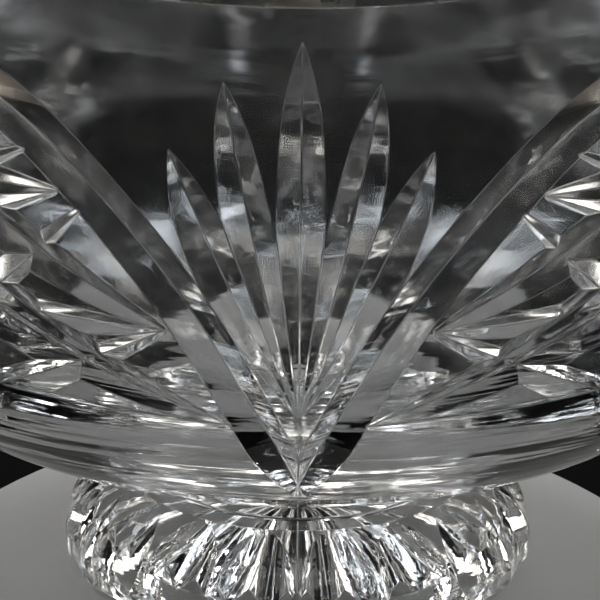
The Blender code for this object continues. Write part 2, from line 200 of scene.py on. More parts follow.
def wheel_tree(name, round_wheel):
    """Sweeps a cutting wheel's edge along each path and repeats it evenly round the axis.
    A path's points hold the outward direction, and the bite: the size of the edge there."""
    tree = bpy.data.node_groups.new(name, "GeometryNodeTree")
    nodes, links = tree.nodes, tree.links
    tree.interface.new_socket("Paths", in_out="INPUT", socket_type="NodeSocketGeometry")
    tree.interface.new_socket("Half angle", in_out="INPUT", socket_type="NodeSocketFloat")
    tree.interface.new_socket("Copies", in_out="INPUT", socket_type="NodeSocketInt")
    tree.interface.new_socket("Glass", in_out="INPUT", socket_type="NodeSocketMaterial")
    tree.interface.new_socket("Cutter", in_out="OUTPUT", socket_type="NodeSocketGeometry")
    given, made = nodes.new("NodeGroupInput"), nodes.new("NodeGroupOutput")
    path = nodes.new("GeometryNodeMeshToCurve")
    links.new(given.outputs["Paths"], path.inputs["Mesh"])
    outward = nodes.new("GeometryNodeInputNamedAttribute")
    outward.data_type = "FLOAT_VECTOR"
    outward.inputs["Name"].default_value = "outward"
    stand = nodes.new("GeometryNodeSetCurveNormal")
    stand.mode = "FREE"
    links.new(path.outputs["Curve"], stand.inputs["Curve"])
    links.new(outward.outputs["Attribute"], stand.inputs["Normal"])
    if round_wheel:
        edge = nodes.new("GeometryNodeCurvePrimitiveCircle")
        edge.inputs["Resolution"].default_value = FLUTE_WHEEL_SIDES
        edge.inputs["Radius"].default_value = 1.0
        section = edge.outputs["Curve"]
    else:
        slope = nodes.new("ShaderNodeMath")
        slope.operation = "TANGENT"
        links.new(given.outputs["Half angle"], slope.inputs[0])
        width = nodes.new("ShaderNodeMath")
        width.operation = "MULTIPLY"
        width.inputs[1].default_value = 2.0
        links.new(slope.outputs[0], width.inputs[0])
        edge = nodes.new("GeometryNodeCurvePrimitiveQuadrilateral")
        edge.mode = "KITE"
        edge.inputs["Bottom Height"].default_value = 1.0
        edge.inputs["Top Height"].default_value = MITRE_BACK
        links.new(width.outputs[0], edge.inputs["Width"])
        turn = nodes.new("GeometryNodeTransform")
        turn.inputs["Rotation"].default_value = (0.0, 0.0, -math.pi / 2)
        links.new(edge.outputs["Curve"], turn.inputs["Geometry"])
        section = turn.outputs["Geometry"]
    bite = nodes.new("GeometryNodeInputNamedAttribute")
    bite.data_type = "FLOAT"
    bite.inputs["Name"].default_value = "bite"
    sweep = nodes.new("GeometryNodeCurveToMesh")
    sweep.inputs["Fill Caps"].default_value = True
    links.new(stand.outputs["Curve"], sweep.inputs["Curve"])
    links.new(section, sweep.inputs["Profile Curve"])
    links.new(bite.outputs["Attribute"], sweep.inputs["Scale"])
    centres = nodes.new("GeometryNodePoints")
    links.new(given.outputs["Copies"], centres.inputs["Count"])
    number = nodes.new("GeometryNodeInputIndex")
    step = nodes.new("ShaderNodeMath")
    step.operation = "DIVIDE"
    step.inputs[0].default_value = math.tau
    links.new(given.outputs["Copies"], step.inputs[1])
    angle = nodes.new("ShaderNodeMath")
    angle.operation = "MULTIPLY"
    links.new(number.outputs["Index"], angle.inputs[0])
    links.new(step.outputs[0], angle.inputs[1])
    about = nodes.new("ShaderNodeCombineXYZ")
    links.new(angle.outputs[0], about.inputs["Z"])
    repeat = nodes.new("GeometryNodeInstanceOnPoints")
    links.new(centres.outputs["Points"], repeat.inputs["Points"])
    links.new(sweep.outputs["Mesh"], repeat.inputs["Instance"])
    links.new(about.outputs["Vector"], repeat.inputs["Rotation"])
    whole = nodes.new("GeometryNodeRealizeInstances")
    links.new(repeat.outputs["Instances"], whole.inputs["Geometry"])
    finish = nodes.new("GeometryNodeSetMaterial")
    links.new(whole.outputs["Geometry"], finish.inputs["Geometry"])
    links.new(given.outputs["Glass"], finish.inputs["Material"])
    links.new(finish.outputs["Geometry"], made.inputs["Cutter"])
    return tree


def set_inputs(modifier, **values):
    """Sets a node modifier's inputs, named in words, by their sockets' identifiers."""
    sockets = {item.name: item.identifier for item in modifier.node_group.interface.items_tree
               if item.in_out == "INPUT"}
    for words, value in values.items():
        modifier[sockets[words.replace("_", " ")]] = value


def wheel_cut(piece, name, path, tree, copies, half_angle=0.0):
    """Takes one kind of cut out of a piece; a path is a list of (point, outward direction, bite)."""
    mesh = bpy.data.meshes.new(name)
    mesh.from_pydata([point for point, _, _ in path], [(i, i + 1) for i in range(len(path) - 1)], [])
    outward = mesh.attributes.new("outward", "FLOAT_VECTOR", "POINT")
    outward.data.foreach_set("vector", np.array([normal for _, normal, _ in path]).ravel())
    bite = mesh.attributes.new("bite", "FLOAT", "POINT")
    bite.data.foreach_set("value", [size for _, _, size in path])
    cutter = bpy.data.objects.new(name, mesh)
    bpy.context.scene.collection.objects.link(cutter)
    sweep = cutter.modifiers.new("Wheel", "NODES")
    sweep.node_group = tree
    set_inputs(sweep, Half_angle=half_angle, Copies=copies, Glass=crystal)
    cut = piece.modifiers.new(name, "BOOLEAN")
    cut.operation = "DIFFERENCE"
    cut.solver = "MANIFOLD"
    cut.object = cutter
    return cutter


def plain_mesh(piece, crease):
    """Turns a piece's modifiers into a plain mesh, smooth up to the crease, an angle in degrees."""
    graph = bpy.context.evaluated_depsgraph_get()
    mesh = bpy.data.meshes.new_from_object(piece.evaluated_get(graph), depsgraph=graph)
    piece.modifiers.clear()
    piece.data = mesh
    mesh.polygons.foreach_set("use_smooth", np.ones(len(mesh.polygons), bool))
    mesh.set_sharp_from_angle(angle=math.radians(crease))
    return mesh


def no_turned_wall(place):
    """For a piece with no wall left as it was turned: every face keeps its own normal."""
    return None


def finished(piece, cutters, true_normal, crease=20.0):
    """Makes a cut piece a plain mesh of crystal; uncut faces take the turned form's own normals."""
    mesh = plain_mesh(piece, crease)
    for cutter in cutters:
        bpy.data.objects.remove(cutter, do_unlink=True)
    mesh.polygons.foreach_set("material_index", np.zeros(len(mesh.polygons), np.int32))
    while mesh.materials[-1] is None:
        mesh.materials.pop()
    normals = [(0.0, 0.0, 0.0)] * len(mesh.loops)
    for face in mesh.polygons:
        expected = true_normal(face.center)
        if expected is None or expected.dot(face.normal) < TURNED_MATCH:
            continue
        for loop in face.loop_indices:
            at_corner = true_normal(mesh.vertices[mesh.loops[loop].vertex_index].co)
            if at_corner is not None:
                normals[loop] = at_corner
    mesh.normals_split_custom_set(normals)


def fuse_level_faces(piece, height, radius):
    """Marks the flat faces of a joint, at one height and inside a radius, as run together."""
    for face in piece.data.polygons:
        near_axis = math.hypot(face.center.x, face.center.y) < radius
        if abs(face.center.z - height) < LEVEL_TOLERANCE and near_axis:
            face.material_index = 1


crystal = lead_crystal("polished_crystal", 0.02, edge_wear=0.35)
ground = lead_crystal("ground_crystal", 0.16)
hazed = lead_crystal("hazed_crystal", 0.16, below_water=0.3)
fused = fused_joint()
mitre_tree = wheel_tree("mitre_wheel", round_wheel=False)
flute_tree = wheel_tree("flute_wheel", round_wheel=True)


def foot_dome(turn):
    """Point and outward normal of the dome as (radius, height); turn runs up from the widest ring."""
    point = Vector((FOOT_RADIUS * math.cos(turn), FOOT_EDGE_HEIGHT + FOOT_DOME_RISE * math.sin(turn)))
    normal = Vector((math.cos(turn) / FOOT_RADIUS, math.sin(turn) / FOOT_DOME_RISE)).normalized()
    return point, normal


def foot_profile():
    """Down the dome and the edge to the resting ring, then in across the hollow underneath."""
    rest = FOOT_RADIUS - FOOT_BEVEL_WIDTH
    recess = rest - FOOT_REST_WIDTH
    rows = [(0.0, FOOT_TOP), (STEM_RADIUS, FOOT_TOP)]
    rows += [tuple(foot_dome(turn)[0]) for turn in np.linspace(FOOT_TOP_TURN, 0.0, DOME_STATIONS)]
    rows += [(FOOT_RADIUS, height) for height in np.linspace(FOOT_EDGE_HEIGHT, FOOT_BEVEL_HEIGHT, 4)[1:]]
    rows += [(rest, 0.0), (recess, 0.0), (recess - FOOT_RECESS, FOOT_RECESS), (0.0, FOOT_RECESS)]
    return rows


def flute_path(azimuth):
    """The round wheel's middle, from under the edge, up it and over the dome to the shoulder.
    It lifts at both ends, so that a flute ends in a round shallow thumb-mark at the edge."""
    outward = outward_at(azimuth)
    edge = Vector((1.0, 0.0))
    places = [(Vector((FOOT_RADIUS, height)), edge, FLUTE_END_LIFT) for height in FLUTE_START_HEIGHTS]
    for turn in np.linspace(0.0, FOOT_TOP_TURN + FLUTE_OVERRUN, FLUTE_STATIONS):
        point, normal = foot_dome(turn)
        edge_lift = FLUTE_END_LIFT * max(0.0, 1.0 - turn / FLUTE_END_TURN) ** 2
        places.append((point, normal, edge_lift + (turn / FOOT_TOP_TURN) ** 3))
    path = []
    for point, normal, run_out in places:
        half_width = math.pi * point.x / FLUTE_COUNT
        depth = FLUTE_DEPTH * point.x / FOOT_RADIUS
        drop = half_width ** 2 * normal.x / (2 * point.x)
        wheel = (half_width ** 2 + depth ** 2) / (2 * depth)
        middle = point + normal * (wheel - depth - drop + FLUTE_DEPTH * run_out)
        path.append((outward * middle.x + UP * middle.y, outward * normal.x + UP * normal.y, wheel))
    return path


def base_star_path(azimuth):
    """The mitre wheel's path for one ray of the star under the foot, deeper towards its outer end."""
    path = []
    for radius in np.linspace(*BASE_STAR_REACH, BASE_STAR_STATIONS):
        depth = BASE_STAR_SLOPE * radius
        clear = MITRE_CLEAR_SHARE * depth
        point = outward_at(azimuth) * radius + UP * (FOOT_RECESS - clear)
        path.append((point, -UP, depth + clear))
    return path


foot = turned("foot_glass", foot_profile(), FOOT_STEPS, crystal, fused, ground)
foot_cutters = []
for index in range(FLUTE_SETS):
    middle = 360.0 * (index + 0.5) / FLUTE_COUNT
    foot_cutters.append(wheel_cut(
        foot, f"flutes_{index}", flute_path(middle), flute_tree, FLUTE_COUNT // FLUTE_SETS))
foot_cutters.append(wheel_cut(
    foot, "base_star", base_star_path(0.0), mitre_tree, BASE_STAR_RAYS, MITRE_HALF_ANGLE))
finished(foot, foot_cutters, no_turned_wall, crease=12.0)
fuse_level_faces(foot, FOOT_TOP, STEM_RADIUS)
for face in foot.data.polygons:
    if face.center.z < REST_TOUCH:
        face.material_index = 2
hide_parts("foot")
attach(foot, "glass")

# Stem: a short button of crystal drawn in at its waist, fused to the bowl above and the foot below.
# It is fire-polished and left uncut, so it shows as the dark narrow band between them.
JOINT_GAP = 0.0003
STEM_HEIGHT = 0.0079
STEM_WAIST_DEPTH = 0.005
STEM_STEPS = 192
STEM_STATIONS = 25
STEM_BOTTOM = FOOT_TOP + JOINT_GAP
STEM_TOP = STEM_BOTTOM + STEM_HEIGHT
stem_rows = [(0.0, STEM_TOP)]
for share in np.linspace(1.0, 0.0, STEM_STATIONS):
    waist = STEM_RADIUS - STEM_WAIST_DEPTH * math.sin(math.pi * share)
    stem_rows.append((waist, STEM_BOTTOM + STEM_HEIGHT * share))
stem_rows.append((0.0, STEM_BOTTOM))
stem = turned("stem_glass", stem_rows, STEM_STEPS, crystal, fused)
finished(stem, [], no_turned_wall, crease=35.0)
fuse_level_faces(stem, STEM_TOP, STEM_RADIUS)
fuse_level_faces(stem, STEM_BOTTOM, STEM_RADIUS)
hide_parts("stem")
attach(stem, "glass")

# Bowl: heavy blown lead crystal, cut on the outside with a V-edged mitre wheel and polished.
# Four arches swing round it and cross under four fans of petals, with a net of star cuts in each panel.
BOWL_RADIUS = 0.0966
BOWL_LOWER_DEPTH = 0.0484
BOWL_UPPER_SPAN = 0.080
BOWL_WALL = 0.0075
BOWL_RIM_WALL = 0.005
BOWL_FLOOR = 0.0105
RIM_ABOVE_BELLY = 0.0575
RIM_BEVEL = 0.0008
RIM_ROUNDING = (0.25, 0.3)
RIM_MARGIN = 1.2 * RIM_BEVEL
SEAT_MARGIN = 0.0006
SEAT_TOLERANCE = 0.00002
AXIS_MARGIN = 0.0005
OUTER_WALL_SHARE = 0.985
INNER_WALL_SHARE = 0.95
INNER_WALL_STEP = 0.004
INNER_OVERRUN = 0.1
HAZE_ABOVE_SEAT = 0.005
BOWL_STEPS = 288
OUTER_STATIONS = (40, 46)
INNER_STATIONS = (44, 36)
WALL_SAMPLES = 800
INNER_SAMPLES = 1500
REPEATS = 4
HALF_PANEL = 180.0 / REPEATS
BOWL_BOTTOM = STEM_TOP + JOINT_GAP
SEAT_RADIUS = STEM_RADIUS + SEAT_MARGIN
SEAT_TURN = math.acos(SEAT_RADIUS / BOWL_RADIUS)
BELLY_HEIGHT = BOWL_BOTTOM + BOWL_LOWER_DEPTH * math.sin(SEAT_TURN)
RIM_HEIGHT = BELLY_HEIGHT + RIM_ABOVE_BELLY
RIM_TURN = math.asin(RIM_ABOVE_BELLY / BOWL_UPPER_SPAN)
RIM_RADIUS = BOWL_RADIUS * math.cos(RIM_TURN)


def bowl_wall(turn):
    """Outer point, normal and wall as (radius, height); turn runs up from the widest ring."""
    span = BOWL_UPPER_SPAN if turn > 0 else BOWL_LOWER_DEPTH
    point = Vector((BOWL_RADIUS * math.cos(turn), BELLY_HEIGHT + span * math.sin(turn)))
    normal = Vector((math.cos(turn) / BOWL_RADIUS, math.sin(turn) / span)).normalized()
    if turn > 0:
        wall = BOWL_WALL + (BOWL_RIM_WALL - BOWL_WALL) * (turn / RIM_TURN) ** 2
    else:
        wall = BOWL_WALL + (BOWL_FLOOR - BOWL_WALL) * (turn / (math.pi / 2)) ** 2
    return point, normal, wall


def inner_wall(turn):
    """Point on the inside as (radius, height), one wall in from the outside."""
    point, normal, wall = bowl_wall(turn)
    return point - normal * wall


inner_turns = np.linspace(-math.pi / 2, RIM_TURN + INNER_OVERRUN, INNER_SAMPLES)
inner_points = np.array([tuple(inner_wall(turn)) for turn in inner_turns])
INNER_RIM_TURN = float(np.interp(RIM_HEIGHT, inner_points[:, 1], inner_turns))
MOUTH_RADIUS = inner_wall(INNER_RIM_TURN).x
wall_turns = np.linspace(-SEAT_TURN, RIM_TURN, WALL_SAMPLES)
wall_points = np.array([tuple(bowl_wall(turn)[0]) for turn in wall_turns])
wall_lengths = np.concatenate([[0.0], np.cumsum(np.hypot(*np.diff(wall_points, axis=0).T))])
wall_lengths -= np.interp(0.0, wall_turns, wall_lengths)


def bowl_profile():
    """Rim, down the outside to the flat seat, then up the inside from the middle of the floor."""
    inset, drop = RIM_ROUNDING[0] * RIM_BEVEL, RIM_ROUNDING[1] * RIM_BEVEL
    rows = [(RIM_RADIUS - RIM_BEVEL, RIM_HEIGHT), (RIM_RADIUS - inset, RIM_HEIGHT - drop)]
    outer_top = RIM_TURN - RIM_BEVEL / BOWL_UPPER_SPAN
    rows += [tuple(bowl_wall(turn)[0]) for turn in np.linspace(outer_top, 0.0, OUTER_STATIONS[0])]
    rows += [tuple(bowl_wall(turn)[0]) for turn in np.linspace(0.0, -SEAT_TURN, OUTER_STATIONS[1])[1:]]
    rows += [(STEM_RADIUS, BOWL_BOTTOM), (0.0, BOWL_BOTTOM), (0.0, inner_wall(-math.pi / 2).y)]
    rows += [tuple(inner_wall(turn)) for turn in np.linspace(-math.pi / 2, 0.0, INNER_STATIONS[0])[1:]]
    inner_top = INNER_RIM_TURN - RIM_BEVEL / BOWL_UPPER_SPAN
    rows += [tuple(inner_wall(turn)) for turn in np.linspace(0.0, inner_top, INNER_STATIONS[1])[1:]]
    rows += [(MOUTH_RADIUS + inset, RIM_HEIGHT - drop), (MOUTH_RADIUS + RIM_BEVEL, RIM_HEIGHT)]
    return rows


def on_bowl(azimuth, length):
    """Point and normal on the outside, at an azimuth and a length up the wall from the widest ring."""
    point, normal, _ = bowl_wall(float(np.interp(length, wall_lengths, wall_turns)))
    outward = outward_at(azimuth)
    return outward * point.x + UP * point.y, outward * normal.x + UP * normal.y


def bowl_normal(place):
    """The turned form's normal at a point on its outer or inner wall; None on the rim and seat."""
    radius = math.hypot(place.x, place.y)
    on_wall = BOWL_BOTTOM + SEAT_TOLERANCE <= place.z <= RIM_HEIGHT - RIM_MARGIN
    if radius < AXIS_MARGIN or not on_wall:
        return None
    span = BOWL_UPPER_SPAN if place.z > BELLY_HEIGHT else BOWL_LOWER_DEPTH
    outward = Vector((place.x, place.y, 0.0)) / radius
    rise = (place.z - BELLY_HEIGHT) / span
    if math.hypot(radius / BOWL_RADIUS, rise) > OUTER_WALL_SHARE:
        return (outward * (radius / BOWL_RADIUS ** 2) + UP * (rise / span)).normalized()
    turn = float(np.interp(place.z, inner_points[:, 1], inner_turns))
    ahead = inner_wall(turn + INNER_WALL_STEP)
    behind = inner_wall(max(turn - INNER_WALL_STEP, -math.pi / 2))
    along = (ahead - behind).normalized()
    return -(outward * along.y - UP * along.x)


def on_inner_wall(face):
    """Whether a face looks in from the bowl's inner wall, clear of the seat."""
    place = face.center
    rise = place.z - BELLY_HEIGHT
    span = BOWL_UPPER_SPAN if rise > 0 else BOWL_LOWER_DEPTH
    share = math.hypot(math.hypot(place.x, place.y) / BOWL_RADIUS, rise / span)
    looks_in = face.normal.dot(Vector((place.x, place.y, rise))) < 0
    return looks_in and share < INNER_WALL_SHARE and place.z > BOWL_BOTTOM + HAZE_ABOVE_SEAT


MITRE_CLEAR = 0.0006


def mitre_path(places):
    """A V cut's path from (azimuth, length, depth) places; the wheel's widest part clears the wall."""
    path = []
    for azimuth, length, depth in places:
        point, normal = on_bowl(azimuth, length)
        clear = MITRE_CLEAR_SHARE * max(depth, 0.0) + MITRE_CLEAR
        path.append((point + normal * clear, normal, depth + clear))
    return path


ARCH_TOP = 0.0426
ARCH_FALL = 0.000026
ARCH_END_DROP = 0.0192
ARCH_END_POWER = 10
ARCH_DEPTH = 0.0028
ARCH_TAIL = 0.5
ARCH_RUN_OUT = 3.0
ARCH_STATIONS = 141
ARCH_SETS = 2
RUN_OUT = -0.00005


def arch_places(panel):
    """One arch, highest at the middle of its panel; its ends plunge and cross under the fans."""
    reach = HALF_PANEL + ARCH_TAIL
    places = []
    for offset in reach * np.sin(np.linspace(-math.pi / 2, math.pi / 2, ARCH_STATIONS)):
        plunge = ARCH_END_DROP * (abs(offset) / HALF_PANEL) ** ARCH_END_POWER
        height = ARCH_TOP - ARCH_FALL * offset ** 2 - plunge
        run_out = min(1.0, (reach - abs(offset)) / ARCH_RUN_OUT)
        depth = RUN_OUT + (ARCH_DEPTH - RUN_OUT) * math.sqrt(run_out)
        places.append((panel + offset, height, depth))
    return places


FAN_BASE = -0.007
FAN_TIPS = {"middle": (0.0, 0.0545), "inner": (8.75, 0.0472), "outer": (13.7, 0.0357)}
FAN_DEPTH = 0.0028
FAN_WIDEST = 0.5
FAN_TAPER = 3.0
PETAL_STATIONS = 40


def petal_places(offset, tip):
    """One petal of a fan: the wheel sinks slowly from the base and lifts quickly at the tip."""
    places = []
    for share in np.linspace(0.0, 1.0, PETAL_STATIONS):
        if share < FAN_WIDEST:
            fullness = share / FAN_WIDEST
        else:
            fullness = 1 - ((share - FAN_WIDEST) / (1 - FAN_WIDEST)) ** FAN_TAPER
        length = FAN_BASE + (tip - FAN_BASE) * share
        places.append((offset * share, length, RUN_OUT + FAN_DEPTH * fullness))
    return places


STAR_DEPTH = 0.0026
STAR_END_DEPTH = 0.0004
CHORD_STATIONS = 36
STAR_CORNERS = {
    "crown": (10.0, 0.038), "brow": (15.6, 0.033), "shoulder": (20.1, 0.027), "arm": (22.8, 0.0243),
    "side": (32.4, 0.0072), "low": (38.5, -0.0088), "foot": (8.5, -0.027)}
STAR_CHORDS = [
    ("shoulder", "shoulder"), ("side", "side"), ("low", "low"), ("side", "crown"), ("low", "shoulder"),
    ("brow", "low"), ("arm", "foot"), ("side", "foot")]


def chord_places(start, end, panel, sign):
    """A straight cut across a panel, from one corner of the star to another on the far side."""
    places = []
    for share in np.linspace(0.0, 1.0, CHORD_STATIONS):
        azimuth = start[0] * sign + (-end[0] * sign - start[0] * sign) * share
        length = start[1] + (end[1] - start[1]) * share
        depth = STAR_END_DEPTH + (STAR_DEPTH - STAR_END_DEPTH) * (1 - (2 * share - 1) ** 2)
        places.append((panel + azimuth, length, depth))
    return places


bowl = turned("bowl_glass", bowl_profile(), BOWL_STEPS, crystal, fused, hazed)
bowl_cuts = {}
for turn in range(ARCH_SETS):
    bowl_cuts[f"arches_{turn}"] = (arch_places(HALF_PANEL * (1 + 2 * turn)), REPEATS // ARCH_SETS)
for words, (offset, tip) in FAN_TIPS.items():
    for sign in (1, -1) if offset else (1,):
        bowl_cuts[f"fan_{words}_{sign}"] = (petal_places(sign * offset, tip), REPEATS)
for start, end in STAR_CHORDS:
    for sign in (1,) if start == end else (1, -1):
        places = chord_places(STAR_CORNERS[start], STAR_CORNERS[end], HALF_PANEL, sign)
        bowl_cuts[f"star_{start}_{end}_{sign}"] = (places, REPEATS)
bowl_cutters = []
for words, (places, copies) in bowl_cuts.items():
    bowl_cutters.append(wheel_cut(bowl, words, mitre_path(places), mitre_tree, copies, MITRE_HALF_ANGLE))
finished(bowl, bowl_cutters, bowl_normal)
fuse_level_faces(bowl, BOWL_BOTTOM, STEM_RADIUS)
for face in bowl.data.polygons:
    if face.material_index == 0 and on_inner_wall(face):
        face.material_index = 2
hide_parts("bowl")
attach(bowl, "glass")

# Grille ring: a spun brass band, silver-plated. Its flange rests on the bowl's rim, its sleeve hangs
# in the mouth and keeps the grille from sliding off, and its upper edge is rolled over into a bead.
SLEEVE_CLEARANCE = 0.0006
SLEEVE_DEPTH = 0.009
BAND_THICKNESS = 0.001
BAND_LIP = 0.0007
BEAD_RADIUS = 0.0009
FLANGE_WIDTH = 0.0055
FLANGE_THICKNESS = 0.0012
PLATE_EASING = 0.0004
PLATE_CREASE = 40.0
RING_STEPS = 192
BEAD_STATIONS = 22
PATCH_SCALE = 90.0
TARNISH_ENDS = (0.36, 0.58)
SHEEN_ENDS = (0.3, 0.7)
SHEEN_ROUGHNESS = (0.38, 0.16)
SCRATCH_STRENGTH = 0.12
SCRATCH_DEPTH = 0.0002
WIRE_RADIUS = 0.001
WIRE_END_HEIGHT = 0.0015
WIRE_LAYER_STEP = 2 * WIRE_RADIUS + JOINT_GAP
BAND_OUTER = MOUTH_RADIUS - SLEEVE_CLEARANCE
BAND_INNER = BAND_OUTER - BAND_THICKNESS
FLANGE_RADIUS = MOUTH_RADIUS + FLANGE_WIDTH
FLANGE_UNDERSIDE = RIM_HEIGHT + JOINT_GAP
FLANGE_TOP = FLANGE_UNDERSIDE + FLANGE_THICKNESS
BAND_TOP = FLANGE_TOP + WIRE_END_HEIGHT + WIRE_LAYER_STEP + WIRE_RADIUS + BAND_LIP


def silver_plate(name, bright, tarnished, scratch_scale):
    """Worn plate on brass: fine polishing scratches, and tarnish that gathers in soft patches."""
    material = bpy.data.materials.new(name)
    material.use_nodes = True
    nodes, links = material.node_tree.nodes, material.node_tree.links
    shader = nodes["Principled BSDF"]
    shader.inputs["Metallic"].default_value = 1.0
    place = nodes.new("ShaderNodeTexCoord")
    patches = nodes.new("ShaderNodeTexNoise")
    patches.inputs["Scale"].default_value = PATCH_SCALE
    patches.inputs["Detail"].default_value = 6.0
    patches.inputs["Roughness"].default_value = 0.62
    links.new(place.outputs["Object"], patches.inputs["Vector"])
    tarnish = nodes.new("ShaderNodeValToRGB")
    for stop, position, colour in zip(tarnish.color_ramp.elements, TARNISH_ENDS, (tarnished, bright)):
        stop.position = position
        stop.color = colour
    links.new(patches.outputs["Fac"], tarnish.inputs["Fac"])
    links.new(tarnish.outputs["Color"], shader.inputs["Base Color"])
    sheen = ranged(material.node_tree, patches.outputs["Fac"], SHEEN_ENDS, SHEEN_ROUGHNESS)
    links.new(sheen, shader.inputs["Roughness"])
    grain = nodes.new("ShaderNodeMapping")
    grain.inputs["Scale"].default_value = scratch_scale
    links.new(place.outputs["Object"], grain.inputs["Vector"])
    scratches = nodes.new("ShaderNodeTexNoise")
    scratches.inputs["Scale"].default_value = 1.0
    scratches.inputs["Detail"].default_value = 3.0
    links.new(grain.outputs["Vector"], scratches.inputs["Vector"])
    bump = nodes.new("ShaderNodeBump")
    bump.inputs["Strength"].default_value = SCRATCH_STRENGTH
    bump.inputs["Distance"].default_value = SCRATCH_DEPTH
    links.new(scratches.outputs["Fac"], bump.inputs["Height"])
    links.new(bump.outputs["Normal"], shader.inputs["Normal"])
    return material


bead_middle = Vector((BAND_OUTER - BAND_THICKNESS / 2, BAND_TOP - BEAD_RADIUS))
bead_seat = math.acos(BAND_THICKNESS / 2 / BEAD_RADIUS)
ring_rows = []
for angle in np.linspace(math.pi + bead_seat, -bead_seat, BEAD_STATIONS):
    ring_rows.append(tuple(bead_middle + Vector((math.cos(angle), math.sin(angle))) * BEAD_RADIUS))
ring_rows += [
    (BAND_OUTER, FLANGE_TOP), (FLANGE_RADIUS, FLANGE_TOP), (FLANGE_RADIUS, FLANGE_UNDERSIDE),
    (BAND_OUTER, FLANGE_UNDERSIDE), (BAND_OUTER, RIM_HEIGHT - SLEEVE_DEPTH),
    (BAND_INNER, RIM_HEIGHT - SLEEVE_DEPTH)]
brushed_round = silver_plate(
    "silver_plate", (0.83, 0.81, 0.77, 1.0), (0.50, 0.45, 0.38, 1.0), (300.0, 300.0, 4200.0))
grille_ring = turned("grille_ring_plate", ring_rows, RING_STEPS, brushed_round)
easing = grille_ring.modifiers.new("Eased edges", "BEVEL")
easing.width = PLATE_EASING
easing.segments = 3
easing.limit_method = "ANGLE"
easing.angle_limit = math.radians(60.0)
plain_mesh(grille_ring, PLATE_CREASE)
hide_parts("grille_ring")
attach(grille_ring, "grille")

# Grille wires: fourteen hard brass wires, silver-plated, bent to a low dome in two crossing layers.
# Their ends are soldered to the inside of the band, and the stems stand in the gaps between them.
WIRE_COUNT = 7
WIRE_CROWN = 0.010
WIRE_STATIONS = 41
WIRE_SIDES = 20
WIRE_REACH = BAND_INNER - JOINT_GAP
WIRE_PITCH = 2 * WIRE_REACH / (WIRE_COUNT + 1)
DOME_RADIUS = (WIRE_REACH ** 2 + WIRE_CROWN ** 2) / (2 * WIRE_CROWN)
DOME_CENTRE = FLANGE_TOP + WIRE_END_HEIGHT + WIRE_CROWN - DOME_RADIUS


def sums(tree, operation, first, second=None):
    """One step of arithmetic in a node tree; an operand is a socket or a number."""
    step = tree.nodes.new("ShaderNodeMath")
    step.operation = operation
    for socket, operand in zip(step.inputs, (first, second)):
        if isinstance(operand, (int, float)):
            socket.default_value = operand
        elif operand is not None:
            tree.links.new(operand, socket)
    return step.outputs[0]


def square(tree, value):
    """A value times itself, in a node tree."""
    return sums(tree, "POWER", value, 2.0)


